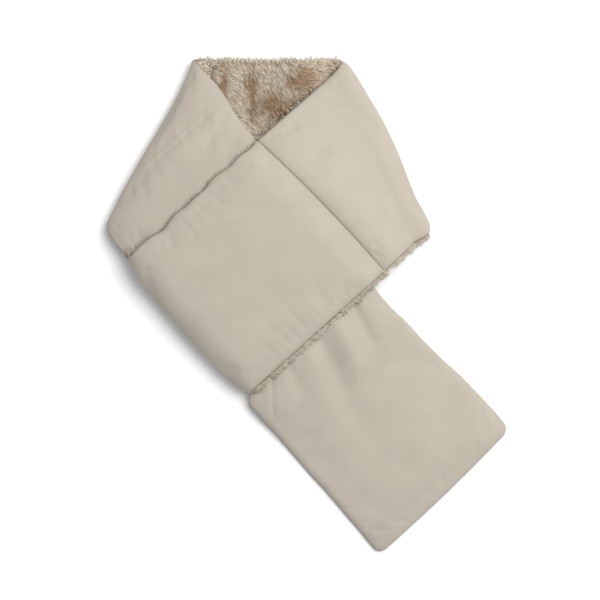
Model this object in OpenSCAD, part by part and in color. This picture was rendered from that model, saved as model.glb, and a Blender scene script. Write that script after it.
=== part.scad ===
// Padded pull-through scarf, lying flat. One plush-lined strip is folded at both
// ends of the neck panel. Its short end makes a sleeve, and its tail runs through it.
// Millimetres, +Z up, origin on the ground in the middle of the outline.

/* [Strip] */
// Finished width of the padded strip
strip_w = 160; // [154:1:166]
// Thickness of the strip where it lies free
strip_t = 10; // [9:0.5:10.5]
// Thickness of the shell fabric with its backing
shell_t = 1.2; // [0.8:0.1:1.6]
// Thickness of the wadding in the middle
wadding_t = 3.8; // [3:0.1:4.5]

/* [Neck panel] */
// Length of the neck panel's top edge, between the two folds
neck_top = 143.6; // [130:1:160]
// Slope of the left fold
left_fold_angle = 63.4; // [60:0.1:67]
// Slope of the right fold
right_fold_angle = 64.5; // [61:0.1:68]
// Spare width that the padding takes up in a fold
fold_slack = 3.3; // [2:0.1:5]

/* [Sleeve] */
// How far the sleeve's strip points below the -X axis
sleeve_angle = 42; // [40:0.1:44]
// Length of the sleeve from its stitched line to its fold
sleeve_len = 164; // [160:1:168]
// Width of the sleeve from mouth to mouth
sleeve_w = 166; // [160:1:170]

/* [Tail] */
// How far the tail points below the +X axis
tail_angle = 49.2; // [47.5:0.1:50.5]
// Length of tail beyond the sleeve
tail_free = 188; // [170:1:200]
// How much longer the tail's left edge is than its right one
tail_skew = 7; // [0:1:10]
// Radius of the tail's two corners
tail_corner = 8; // [4:1:12]
// Distance from the sleeve's mouth to the line where the tail lifts
lift_offset = 29; // [26:1:36]

/* [Stitching] */
// Length of one stitch
stitch_len = 3.4; // [2.5:0.1:4]
// Distance from one stitch to the next
stitch_pitch = 4.6; // [4.2:0.1:6]
// Radius of the thread
thread_r = 0.35; // [0.25:0.05:0.4]

/* [Hidden] */

// Layer boundaries as fractions of the thickness, from the shell inwards
layer_gap = 0.01;
f_shell = [0, shell_t / strip_t];
f_wadding = [shell_t / strip_t + layer_gap, (shell_t + wadding_t) / strip_t];
f_plush = [(shell_t + wadding_t) / strip_t + layer_gap, 1];

// Columns across a strip, closer together where the edge gets thin
cols = [-1, -0.93, -0.8, -0.4, 0, 0.4, 0.8, 0.93, 1];
edge_thin = [0.4, 0.74, 0.95, 1, 1, 1, 0.95, 0.74, 0.4];
fold_steps = 6;
joint_gap = 0.2;
half_w = strip_w / 2;

// Inward direction and thickness at the left fold
left_in = [sin(left_fold_angle), -cos(left_fold_angle)];
left_t = strip_t - 0.3;

// Plan directions: along the tail, across it, along the sleeve strip, across it
tail_dir = [cos(tail_angle), -sin(tail_angle)];
tail_side = [sin(tail_angle), cos(tail_angle)];
arm_dir = [-cos(sleeve_angle), -sin(sleeve_angle)];
arm_side = [sin(sleeve_angle), -cos(sleeve_angle)];

// Corners of the neck panel, measured from its top left one
top_left = [0, 0];
top_right = [neck_top, 0];
low_left = [-strip_w / tan(left_fold_angle), -strip_w];
low_right = [neck_top + strip_w / tan(right_fold_angle), -strip_w];

// Middle of the sleeve, where the two strips' centre lines cross
edge_out = half_w + fold_slack;
skew = -cos(tail_angle + sleeve_angle);
along_arm = neck_top * sin(sleeve_angle) + edge_out;
cross_b = (along_arm + skew * edge_out) / (1 - skew * skew);
cross_a = -edge_out - skew * cross_b;
cross = cross_a * tail_side + cross_b * arm_side;

// Outline, and the shift that puts the origin in its middle
tail_tip = sleeve_w / 2 + tail_free;
rim_w = 0.93 * half_w;
function tip_t(w) = tail_tip - corner_cut(w) - tail_skew / 2 * w / half_w;
tail_right = tail_point(tip_t(rim_w), rim_w);
tail_low = tail_point(tip_t(-rim_w), -rim_w);
left_reach = low_left.x + left_in.x * (strip_t - left_t * edge_thin[0]) / 2;
middle = [(left_reach + tail_right.x) / 2, (top_left.y + tail_low.y) / 2];

// The sleeve and the tail lie on a gentle slope, up from the sleeve's low corner
low_corner = cross + sleeve_len / 2 * arm_dir + sleeve_w / 2 * arm_side;
slope = (strip_t - 0.1) / (-strip_w - low_corner.y);
function lift(p) = slope * (p.y - low_corner.y);

// Heights above that slope
back_t = 7;
back_mid = 0.4 + back_t / 2;
tail_t = strip_t - 0.5;
tail_mid = 0.4 + back_t + 1.6 + tail_t / 2;
front_t = strip_t;
front_mid = tail_mid + tail_t / 2 + 2.1 + front_t / 2;
seam_t = 3.4;
seam_mid = tail_mid + 0.1 + seam_t / 2;
seam_reach = 14;

function smooth(x) = let (y = max(0, min(1, x))) y * y * (3 - 2 * y);
function mix(a, b, f) = a + (b - a) * f;
function at(p, z) = [p.x - middle.x, p.y - middle.y, z];
function level(p, h) = at(p, h + lift(p));

// A layer between fractions f[0] and f[1] of a sheet with middle points m,
// directions d from shell to plush, and thickness h, given per row and column
function offset_grid(m, d, h, f) = [
    for (i = [0 : len(m) - 1]) for (j = [0 : len(m[i]) - 1])
        m[i][j] + d[i][j] * h[i][j] * (f - 0.5)
];

module layer(m, d, h, f) {
    rows = len(m);
    n = len(m[0]);
    size = rows * n;
    outer = [
        for (i = [0 : rows - 2]) for (j = [0 : n - 2])
            let (a = i * n + j)
            each [[a, a + 1, a + n + 1], [a, a + n + 1, a + n]]
    ];
    inner = [for (t = outer) [t[2] + size, t[1] + size, t[0] + size]];
    first = [for (j = [0 : n - 2]) each [[j, j + size, j + 1], [j + 1, j + size, j + 1 + size]]];
    last_row = (rows - 1) * n;
    last = [
        for (j = [0 : n - 2])
            let (a = last_row + j)
            each [[a, a + 1, a + size], [a + 1, a + 1 + size, a + size]]
    ];
    left = [
        for (i = [0 : rows - 2])
            let (a = i * n)
            each [[a, a + n, a + size], [a + n, a + n + size, a + size]]
    ];
    right = [
        for (i = [0 : rows - 2])
            let (a = i * n + n - 1)
            each [[a, a + size, a + n], [a + n, a + size, a + n + size]]
    ];
    polyhedron(
        points = concat(offset_grid(m, d, h, f[0]), offset_grid(m, d, h, f[1])),
        faces = concat(outer, inner, first, last, left, right),
        convexity = 6
    );
}

// The layer between rows a and b of a longer sheet
function cut(g, a, b) = [for (i = [a : b]) g[i]];
module part_layer(m, d, h, f, a, b) {
    layer(cut(m, a, b), cut(d, a, b), cut(h, a, b), f);
}

// Straight line of thread between two points, with a stitch every stitch_pitch
module thread(a, b) {
    run = b - a;
    length = norm(run);
    turn_z = atan2(run.y, run.x);
    turn_y = acos(run.z / length);
    count = floor((length - stitch_len) / stitch_pitch);
    translate(a) rotate([0, turn_y, turn_z]) {
        cylinder(r = thread_r * 0.6, h = length, $fn = 24);
        for (i = [0 : count])
            translate([0, 0, i * stitch_pitch + 0.5]) cylinder(r = thread_r, h = stitch_len, $fn = 24);
    }
}

// Neck panel: shell on the ground, plush up, between the two folds' lower legs
leg = 32;
neck_rows = 5;
function fold_left(y) = top_left.x + low_left.x * (-y / strip_w);
function fold_right(y) = top_right.x + (low_right.x - top_right.x) * (-y / strip_w);
function neck_y(c) = -half_w + c * half_w;
neck_m = [
    for (i = [0 : neck_rows]) [
        for (c = cols)
            let (y = neck_y(c))
            at([mix(fold_left(y) + leg, fold_right(y) - leg, i / neck_rows), y], strip_t / 2)
    ]
];
neck_d = [for (i = [0 : neck_rows]) [for (c = cols) [0, 0, 1]]];
neck_h = [for (i = [0 : neck_rows]) [for (e = edge_thin) strip_t * e]];

module neck_shell() {
    color("tan") mirror_order(neck_m, neck_d, neck_h, f_shell);
}

module neck_wadding() {
    color("white") mirror_order(neck_m, neck_d, neck_h, f_wadding);
}

module neck_plush() {
    color("wheat") mirror_order(neck_m, neck_d, neck_h, f_plush);
}

// Right arm: from the neck panel, round the right fold, up to the sleeve's seam
right_r = strip_t / 2 + 0.3;
right_in = [-sin(right_fold_angle), -cos(right_fold_angle)];
right_out = right_r + strip_t / 2;
arm_steps = [0.12, 0.35, 0.6, 0.8, 0.93, 1];
function right_foot(c) = mix(top_right, low_right, (c + 1) / 2);
function right_axis(c) = right_foot(c) + right_in * right_out;
function seam_point(c, u) = cross + u * arm_dir + c * sleeve_w / 2 * arm_side;
seam_u = -sleeve_len / 2;
function arm_end(c) = seam_point(c, seam_u - joint_gap / 2);
function arm_plan(c, f) = mix(right_axis(c), arm_end(c), f);
function arm_z(c, f) = mix(strip_t / 2 + 2 * right_r, seam_mid + lift(arm_end(c)), smooth(f))
    + 5 * sin(180 * f);
function arm_pinch(c, f) = let (away = norm(arm_end(c) - arm_plan(c, f)))
    mix(seam_t / strip_t, 1, smooth(away / seam_reach));
right_m = concat(
    [for (g = [0, 0.5]) [
        for (c = cols)
            let (foot = right_foot(c))
            at(mix([foot.x - leg + joint_gap, foot.y], right_axis(c), g), strip_t / 2)
    ]],
    [for (k = [0 : fold_steps])
        let (a = -90 + 180 * k / fold_steps)
        [for (c = cols) at(right_axis(c) - right_in * right_r * cos(a),
            strip_t / 2 + right_r + right_r * sin(a))]],
    [for (f = arm_steps) [for (c = cols) at(arm_plan(c, f), arm_z(c, f))]]
);
right_d = concat(
    [for (g = [0, 1]) [for (c = cols) [0, 0, 1]]],
    [for (k = [0 : fold_steps])
        let (a = -90 + 180 * k / fold_steps)
        [for (c = cols) [right_in.x * cos(a), right_in.y * cos(a), -sin(a)]]],
    [for (f = arm_steps) [for (c = cols) [0, 0, -1]]]
);
right_h = concat(
    [for (g = [0 : fold_steps + 2]) [for (e = edge_thin) strip_t * e]],
    [for (f = arm_steps) [
        for (j = [0 : len(cols) - 1]) strip_t * edge_thin[j] * arm_pinch(cols[j], f)
    ]]
);

right_turn = 2 + fold_steps;
right_last = len(right_m) - 1;

module right_fold_shell() {
    color("peru") part_layer(right_m, right_d, right_h, f_shell, 0, right_turn);
}

module right_fold_wadding() {
    color("white") part_layer(right_m, right_d, right_h, f_wadding, 0, right_turn);
}

module right_fold_plush() {
    color("wheat") part_layer(right_m, right_d, right_h, f_plush, 0, right_turn);
}

module right_arm_shell() {
    color("sandybrown") part_layer(right_m, right_d, right_h, f_shell, right_turn, right_last);
}

module right_arm_wadding() {
    color("white") part_layer(right_m, right_d, right_h, f_wadding, right_turn, right_last);
}

module right_arm_plush() {
    color("wheat") part_layer(right_m, right_d, right_h, f_plush, right_turn, right_last);
}

// Sleeve: front panel from the seam, round its fold, and back underneath to the seam
sleeve_r = (front_mid - back_mid) / 2;
fold_t = 7.5;
fold_u = sleeve_len / 2 - fold_t / 2 - sleeve_r;
front_u = [seam_u, seam_u + 5, seam_u + 9, seam_u + seam_reach, -20, 30];
back_u = [30, -20, seam_u + seam_reach, seam_u + 9, seam_u + 5, seam_u];
function near_seam(u) = smooth((u - seam_u) / seam_reach);
function front_z(u) = mix(seam_mid, front_mid, near_seam(u));
function back_z(u) = mix(tail_mid - 0.1 - seam_t / 2, back_mid, near_seam(u));
sleeve_m = concat(
    [for (u = front_u) [for (c = cols) level(seam_point(c, u), front_z(u))]],
    [for (k = [0 : fold_steps])
        let (a = 90 - 180 * k / fold_steps)
        [for (c = cols) level(seam_point(c, fold_u + sleeve_r * cos(a)),
            back_mid + sleeve_r + sleeve_r * sin(a))]],
    [for (u = back_u) [for (c = cols) level(seam_point(c, u), back_z(u))]]
);
sleeve_d = concat(
    [for (u = front_u) [for (c = cols) [0, 0, -1]]],
    [for (k = [0 : fold_steps])
        let (a = 90 - 180 * k / fold_steps)
        [for (c = cols) [-arm_dir.x * cos(a), -arm_dir.y * cos(a), -sin(a)]]],
    [for (u = back_u) [for (c = cols) [0, 0, 1]]]
);
sleeve_h = concat(
    [for (u = front_u) [for (e = edge_thin) mix(seam_t, front_t * e, near_seam(u))]],
    [for (k = [0 : fold_steps])
        let (f = k / fold_steps, thin = (front_t + back_t) / 2 - fold_t)
        [for (e = edge_thin) (mix(front_t, back_t, f) - thin * sin(180 * f)) * e]],
    [for (u = back_u) [for (e = edge_thin) mix(seam_t, back_t * e, near_seam(u))]]
);

front_last = len(front_u);
back_first = front_last + fold_steps;
back_last = len(sleeve_m) - 1;

module sleeve_front_shell() {
    color("burlywood") part_layer(sleeve_m, sleeve_d, sleeve_h, f_shell, 0, front_last);
}

module sleeve_front_wadding() {
    color("white") part_layer(sleeve_m, sleeve_d, sleeve_h, f_wadding, 0, front_last);
}

module sleeve_front_plush() {
    color("wheat") part_layer(sleeve_m, sleeve_d, sleeve_h, f_plush, 0, front_last);
}

module sleeve_fold_shell() {
    color("rosybrown") part_layer(sleeve_m, sleeve_d, sleeve_h, f_shell, front_last, back_first);
}

module sleeve_fold_wadding() {
    color("white") part_layer(sleeve_m, sleeve_d, sleeve_h, f_wadding, front_last, back_first);
}

module sleeve_fold_plush() {
    color("wheat") part_layer(sleeve_m, sleeve_d, sleeve_h, f_plush, front_last, back_first);
}

module sleeve_back_shell() {
    color("burlywood") part_layer(sleeve_m, sleeve_d, sleeve_h, f_shell, back_first, back_last);
}

module sleeve_back_wadding() {
    color("white") part_layer(sleeve_m, sleeve_d, sleeve_h, f_wadding, back_first, back_last);
}

module sleeve_back_plush() {
    color("wheat") part_layer(sleeve_m, sleeve_d, sleeve_h, f_plush, back_first, back_last);
}

// Stitched line that closes the sleeve, in the groove beside the right arm
stitch_up = seam_t / 2 + thread_r + 0.1;
module sleeve_topstitch() {
    color("saddlebrown") thread(
        level(seam_point(-0.93, seam_u), seam_mid + stitch_up),
        level(seam_point(0.93, seam_u), seam_mid + stitch_up)
    );
}

// Left fold: from the neck panel, round the fold, up to the quilted seam
left_r = 8.5;
left_out = left_r + strip_t / 2;
left_floor = strip_t / 2 + 0.15;
quilt_t = -133;
function tail_point(t, w) = cross + t * tail_dir + w * tail_side;
function left_foot(c) = mix(top_left, low_left, (c + 1) / 2);
function foot_t(c) = (left_foot(c) - cross) * tail_dir;
function foot_w(c) = (left_foot(c) - cross) * tail_side;
function left_start(c) = max(quilt_t, foot_t(c) + 21);
function left_axis(c) = left_foot(c) + left_in * left_out;
top_steps = [0.35, 0.7, 1];
slide_in = 113;
right_half = 73;
left_half = 70;
function arm_w(c, t) = c < 0
    ? -c * mix(half_w, right_half, smooth((t - quilt_t) / (-slide_in - quilt_t)))
    : -c * left_half;
function left_end(c) = tail_point(left_start(c) - joint_gap, arm_w(c, left_start(c)));
function left_end_z(c) = tail_mid + lift(left_end(c));
seam_squeeze = 0.5;
left_m = concat(
    [for (g = [0, 0.5]) [
        for (c = cols)
            let (foot = left_foot(c))
            at(mix([foot.x + leg - joint_gap, foot.y], left_axis(c), g), left_floor)
    ]],
    [for (k = [0 : fold_steps])
        let (a = -90 + 180 * k / fold_steps)
        [for (c = cols) at(left_axis(c) - left_in * left_r * cos(a),
            left_floor + left_r + left_r * sin(a))]],
    [for (f = top_steps) [
        for (c = cols)
            at(mix(left_axis(c), left_end(c), f),
                mix(left_floor + 2 * left_r, left_end_z(c), smooth(f)))
    ]]
);
left_d = concat(
    [for (g = [0, 1]) [for (c = cols) [0, 0, 1]]],
    [for (k = [0 : fold_steps])
        let (a = -90 + 180 * k / fold_steps)
        [for (c = cols) [left_in.x * cos(a), left_in.y * cos(a), -sin(a)]]],
    [for (f = top_steps) [for (c = cols) [0, 0, -1]]]
);
left_h = concat(
    [for (g = [0 : fold_steps + 2]) [for (e = edge_thin) left_t * e]],
    [for (f = top_steps) [for (e = edge_thin) mix(left_t, tail_t * seam_squeeze, smooth(f)) * e]]
);

module left_fold_shell() {
    color("sienna") mirror_order(left_m, left_d, left_h, f_shell);
}

module left_fold_wadding() {
    color("white") mirror_order(left_m, left_d, left_h, f_wadding);
}

module left_fold_plush() {
    color("wheat") mirror_order(left_m, left_d, left_h, f_plush);
}

// The same layer for a grid whose columns run the other way
function flip(g) = [for (row = g) [for (j = [len(row) - 1 : -1 : 0]) row[j]]];
module mirror_order(m, d, h, f) {
    layer(flip(m), flip(d), flip(h), f);
}

// Left arm: straight from the quilted seam through the sleeve to the lifting line
lift_t = sleeve_w / 2 + lift_offset;
arm_t = [0, 0.04, 0.09, 0.3, 0.65, 1];
function arm_station(c, f) = mix(left_start(c), lift_t - joint_gap / 2, f);
function arm_squeeze(c, f) = mix(seam_squeeze, 1, smooth((arm_station(c, f) - left_start(c)) / 12));
left_arm_m = [
    for (f = arm_t) [
        for (c = cols)
            let (t = arm_station(c, f))
            level(tail_point(t, arm_w(c, t)), tail_mid)
    ]
];
left_arm_d = [for (f = arm_t) [for (c = cols) [0, 0, -1]]];
left_arm_h = [
    for (f = arm_t) [
        for (j = [0 : len(cols) - 1]) tail_t * edge_thin[j] * arm_squeeze(cols[j], f)
    ]
];

module left_arm_shell() {
    color("chocolate") mirror_order(left_arm_m, left_arm_d, left_arm_h, f_shell);
}

module left_arm_wadding() {
    color("white") mirror_order(left_arm_m, left_arm_d, left_arm_h, f_wadding);
}

module left_arm_plush() {
    color("wheat") mirror_order(left_arm_m, left_arm_d, left_arm_h, f_plush);
}

quilt_up = tail_t * seam_squeeze / 2 + thread_r + 0.25;
module left_arm_seam_thread() {
    color("saddlebrown") thread(
        level(tail_point(quilt_t + 0.3, half_w - 7), tail_mid + quilt_up),
        level(tail_point(quilt_t + 0.3, 22), tail_mid + quilt_up)
    );
}

// Tail end: from the lifting line down to the ground, and along it to the tip
ground_t = 52;
end_t = [0, 0.09, 0.18, 0.27, 0.36, 0.6, 0.95, 1];
function corner_cut(w) = let (x = max(0, abs(w) - half_w + tail_corner) / tail_corner)
    tail_corner * (1 - sqrt(max(0, 1 - x * x)));
function end_w(c, t) = let (f = smooth((t - lift_t) / 16))
    -c * mix(c < 0 ? right_half : left_half, half_w, f);
function end_station(c, f) = mix(lift_t + joint_gap / 2, tip_t(-c * half_w), f);
function end_drop(t) = smooth((t - lift_t) / ground_t);
end_m = [
    for (f = end_t) [
        for (c = cols)
            let (t = end_station(c, f), p = tail_point(t, end_w(c, t)))
            at(p, mix(tail_mid + lift(p), strip_t / 2, end_drop(t)))
    ]
];
end_d = [for (f = end_t) [for (c = cols) [0, 0, -1]]];
end_h = [
    for (f = end_t) [
        for (j = [0 : len(cols) - 1])
            mix(tail_t, strip_t, end_drop(end_station(cols[j], f))) * edge_thin[j]
                * (f > 0.97 ? 0.4 : 1)
    ]
];

module tail_end_shell() {
    color("tan") mirror_order(end_m, end_d, end_h, f_shell);
}

module tail_end_wadding() {
    color("white") mirror_order(end_m, end_d, end_h, f_wadding);
}

module tail_end_plush() {
    color("wheat") mirror_order(end_m, end_d, end_h, f_plush);
}

neck_shell();
neck_wadding();
neck_plush();
right_fold_shell();
right_fold_wadding();
right_fold_plush();
right_arm_shell();
right_arm_wadding();
right_arm_plush();
sleeve_front_shell();
sleeve_front_wadding();
sleeve_front_plush();
sleeve_fold_shell();
sleeve_fold_wadding();
sleeve_fold_plush();
sleeve_back_shell();
sleeve_back_wadding();
sleeve_back_plush();
sleeve_topstitch();
left_fold_shell();
left_fold_wadding();
left_fold_plush();
left_arm_shell();
left_arm_wadding();
left_arm_plush();
left_arm_seam_thread();
tail_end_shell();
tail_end_wadding();
tail_end_plush();
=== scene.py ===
# Padded pull-through scarf, lying flat: shell cloth, wadding, plush lining, pile and
# stitches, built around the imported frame. Sizes are in millimetres in the row frame,
# and become metres when a mesh is made.
import math

import bpy
import numpy as np
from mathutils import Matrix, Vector


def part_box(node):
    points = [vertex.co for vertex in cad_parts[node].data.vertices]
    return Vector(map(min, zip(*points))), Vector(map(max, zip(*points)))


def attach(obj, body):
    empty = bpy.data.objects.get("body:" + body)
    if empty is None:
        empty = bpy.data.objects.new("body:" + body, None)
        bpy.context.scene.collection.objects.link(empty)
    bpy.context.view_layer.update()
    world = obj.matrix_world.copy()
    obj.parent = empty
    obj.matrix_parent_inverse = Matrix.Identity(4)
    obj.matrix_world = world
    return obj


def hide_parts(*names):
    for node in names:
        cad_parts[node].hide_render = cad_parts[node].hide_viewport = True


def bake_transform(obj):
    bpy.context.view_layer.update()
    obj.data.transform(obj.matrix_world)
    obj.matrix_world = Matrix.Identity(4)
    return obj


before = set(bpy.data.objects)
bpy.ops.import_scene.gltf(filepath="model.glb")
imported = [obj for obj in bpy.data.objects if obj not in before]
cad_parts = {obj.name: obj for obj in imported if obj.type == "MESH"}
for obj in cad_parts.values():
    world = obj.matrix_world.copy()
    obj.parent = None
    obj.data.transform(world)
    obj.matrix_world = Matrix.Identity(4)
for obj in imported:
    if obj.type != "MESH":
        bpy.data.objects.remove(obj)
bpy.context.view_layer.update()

MM = 0.001
UP = np.array([0.0, 0.0, 1.0])

# ---------------------------------------------------------------- driving dimensions
STRIP_W, STRIP_T = 160.0, 10.0
HALF = STRIP_W / 2
NECK_TOP, FOLD_SLACK, LEG = 143.6, 3.3, 32.0
LEFT_FOLD, RIGHT_FOLD = math.radians(63.4), math.radians(64.5)
SLEEVE_TURN, TAIL_TURN = math.radians(42.0), math.radians(49.2)
SLEEVE_LEN, SLEEVE_W = 164.0, 166.0
TAIL_FREE, TAIL_SKEW, TAIL_CORNER = 188.0, 7.0, 8.0
TIP_T = SLEEVE_W / 2 + TAIL_FREE
QUILT_T = -133.0
SEAM_U = -SLEEVE_LEN / 2
LEFT_R, RIGHT_R = 8.5, 5.3
ARM_HALF_IN, ARM_HALF_OUT = 73.0, 72.0
TAIL_HALF_UP, TAIL_HALF_LOW = 82.2, 84.0
ARM_BULGE = 85.5

# Heights of the layers' middles above the gentle slope that the sleeve lies on
BACK_MID, TAIL_MID, FRONT_MID = 3.9, 13.75, 25.6
SEAM_MID = 20.5
# Height of the middle of a panel that lies on the floor
FLOOR_MID = 5.0
CLOTH_T = 0.6


def unit(angle):
    return np.array([math.cos(angle), math.sin(angle)])


tail_dir, tail_side = unit(-TAIL_TURN), unit(math.pi / 2 - TAIL_TURN)
arm_dir, arm_side = unit(SLEEVE_TURN + math.pi), unit(SLEEVE_TURN - math.pi / 2)
left_in = np.array([math.sin(LEFT_FOLD), -math.cos(LEFT_FOLD)])
right_in = np.array([-math.sin(RIGHT_FOLD), -math.cos(RIGHT_FOLD)])

# The neck panel's corners: the plush node gives its top edge and its left end
neck_low, neck_high = (np.array(v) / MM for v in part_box("neck_plush"))
top_left = np.array([neck_low[0] - LEG + STRIP_W / math.tan(LEFT_FOLD), neck_high[1]])
top_right = top_left + [NECK_TOP, 0]
low_left = top_left + [-STRIP_W / math.tan(LEFT_FOLD), -STRIP_W]
low_right = top_right + [STRIP_W / math.tan(RIGHT_FOLD), -STRIP_W]

# Middle of the sleeve, where the two strips' centre lines cross
edge_out = HALF + FOLD_SLACK
skew = -math.cos(TAIL_TURN + SLEEVE_TURN)
cross_b = (NECK_TOP * math.sin(SLEEVE_TURN) + edge_out * (1 + skew)) / (1 - skew * skew)
cross_a = -edge_out - skew * cross_b
cross = top_left + cross_a * tail_side + cross_b * arm_side
low_corner = cross + SLEEVE_LEN / 2 * arm_dir + SLEEVE_W / 2 * arm_side
slope = (STRIP_T - 0.1) / (low_left[1] - low_corner[1])


def ease(x):
    x = np.clip(x, 0, 1)
    return x * x * (3 - 2 * x)


def mix(a, b, f):
    return a + (b - a) * f


def lift(p):
    return slope * (p[..., 1] - low_corner[1])


def at(p, z):
    return np.concatenate([p, np.broadcast_to(np.asarray(z, float), p.shape[:-1])[..., None]], -1)


def spread(x):
    return np.asarray(x, float)[..., None]


def tail_point(t, w):
    return cross + spread(t) * tail_dir + spread(w) * tail_side


def sleeve_point(u, v):
    return cross + spread(u) * arm_dir + spread(v) * arm_side


def tail_coords(p):
    d = p[..., :2] - cross
    return d @ tail_dir, d @ tail_side


def sleeve_coords(p):
    d = p[..., :2] - cross
    return d @ arm_dir, d @ arm_side


# ---------------------------------------------------------------- smooth noise
def noise(x, y, scale, seed):
    """Smooth noise from -1 to 1 with features of about that scale, the same each run."""
    g = np.random.default_rng(seed).uniform(-1, 1, (64, 64))
    x, y = np.asarray(x) / scale + 17.3, np.asarray(y) / scale + 9.1
    i, j = np.floor(x).astype(int), np.floor(y).astype(int)
    fx, fy = ease(x - i), ease(y - j)
    a, b = g[i % 64, j % 64], g[(i + 1) % 64, j % 64]
    c, d = g[i % 64, (j + 1) % 64], g[(i + 1) % 64, (j + 1) % 64]
    return mix(mix(a, b, fx), mix(c, d, fx), fy)


def clouds(x, y, scale, seed):
    return (noise(x, y, scale, seed) + 0.5 * noise(x, y, scale / 2, seed + 1)) / 1.2


# ---------------------------------------------------------------- strips of cloth as grids
def resample(values, old, new, limited=False):
    """Cubic through the rows of values, which lie at old, read at new."""
    v, old = np.asarray(values, float), np.asarray(old, float)
    wide = (-1,) + (1,) * (v.ndim - 1)
    h = np.diff(old)
    slopes = np.diff(v, axis=0) / h.reshape(wide)
    tangent = np.empty_like(v)
    tangent[0], tangent[-1] = slopes[0], slopes[-1]
    h0, h1 = h[:-1].reshape(wide), h[1:].reshape(wide)
    tangent[1:-1] = (slopes[:-1] * h1 + slopes[1:] * h0) / (h0 + h1)
    if limited:
        tangent[1:-1][slopes[:-1] * slopes[1:] <= 0] = 0
    k = np.clip(np.searchsorted(old, new, side="right") - 1, 0, len(old) - 2)
    f = ((new - old[k]) / h[k]).reshape(wide)
    hk = h[k].reshape(wide)
    return (
        (2 * f**3 - 3 * f**2 + 1) * v[k]
        + (f**3 - 2 * f**2 + f) * hk * tangent[k]
        + (3 * f**2 - 2 * f**3) * v[k + 1]
        + (f**3 - f**2) * hk * tangent[k + 1]
    )


def regrid(values, strip, u, c):
    """A fine grid of values read at rows u and columns c."""
    rows = resample(values, strip.u, u)
    return np.swapaxes(resample(np.swapaxes(rows, 0, 1), COLS, c), 0, 1)


def columns(n):
    q = np.linspace(-1, 1, n)
    return 0.25 * q + 0.75 * np.sin(np.pi * q / 2)


COLS = columns(101)
FOLD_TURN = np.radians(np.linspace(-90, 90, 11))


class Strip:
    """A stretch of padded strip: a grid of middle points, of unit directions towards the
    shell, and of how full it is. Column -1 is the upper or inner edge, +1 the lower one."""

    def __init__(self, stations, spacing, dense_end=False):
        mid, face, full = (np.array([s[k] for s in stations]) for k in range(3))
        steps = np.linalg.norm(np.diff(mid, axis=0), axis=-1).mean(axis=1)
        old = np.concatenate([[0], np.cumsum(steps)])
        q = np.linspace(0, 1, int(old[-1] / spacing) + 1)
        self.u = old[-1] * (0.25 * q + 0.75 * np.sin(np.pi * q / 2) if dense_end else q)
        self.mid = resample(mid, old, self.u)
        face = resample(face, old, self.u)
        self.face = face / np.linalg.norm(face, axis=-1, keepdims=True)
        self.full = resample(full, old, self.u, limited=True)
        self.stations = old

    def rows(self, first, last):
        """The rows between two stations."""
        lo, hi = self.stations[first], self.stations[last]
        keep = np.where((self.u >= lo - 1e-6) & (self.u <= hi + 1e-6))[0]
        return slice(keep[0], keep[-1] + 1)


def station(mid, face, full=1.0):
    return mid, np.broadcast_to(face, mid.shape), np.broadcast_to(full, mid.shape[:-1])


def fold_stations(foot, inward, r, z0, corner, slide, bulge, reach):
    """Half a turn round a fold, from under it to over it. corner rounds its two ends, slide
    is how far the cloth has shifted along the fold when it comes out on top, bulge is how
    far it stands out past a straight fold, and reach is the half width of its upper side."""
    made = []
    along = np.array([inward[1], -inward[0]]) * (-1 if inward[0] < 0 else 1)
    outer = r + STRIP_T / 2
    first = inward[1] * outer / along[1]
    corner = np.where(COLS < 0, corner[0], -corner[1]) * ease((np.abs(COLS) - 0.8) / 0.2)
    for a in FOLD_TURN:
        moved = (slide if a > 0 else -first) * (1 - math.cos(a)) + corner * math.cos(a) ** 2
        half = mix(r, reach, ease(a / math.radians(50)))
        in_by = outer - r + half - half * math.cos(a) - bulge * min(math.cos(a) * 1.4, 1)
        p = foot + inward * spread(in_by) + spread(moved) * along
        tilt = r / half
        face = np.append(-inward * math.cos(a) * tilt, math.sin(a))
        made.append(station(at(p, z0 + r + r * math.sin(a)), face / np.linalg.norm(face)))
    return made


def tail_end_t(w):
    x = np.clip((np.abs(w) - HALF + TAIL_CORNER) / TAIL_CORNER, 0, 1)
    bow = 1.0 + 2.0 * (1 - (w / HALF) ** 2)
    return TIP_T + bow - TAIL_CORNER * (1 - np.sqrt(1 - x * x)) - TAIL_SKEW * 0.65 * w / HALF


def tail_strip():
    start, made = 56.0, []
    for f in np.linspace(0, 1, 40):
        t = mix(start, tail_end_t(-COLS * HALF), f)
        upper = mix(ARM_HALF_IN, TAIL_HALF_UP, ease((t - 88) / 175))
        wide = np.where(COLS < 0, upper, mix(ARM_HALF_OUT, TAIL_HALF_LOW, ease((t - 80) / 13)))
        w = -COLS * wide
        w = w + mix(0.7, 1.1, COLS < 0) * noise(t, w * 0, 23, 5) * np.abs(COLS) ** 8 * ease((t - 84) / 20)
        p = tail_point(t, w)
        drop = ease((t - 96) / 68)
        made.append(station(at(p, mix(TAIL_MID + lift(p), FLOOR_MID, drop)), UP))
    return Strip(made, 1.3, dense_end=True)


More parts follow.
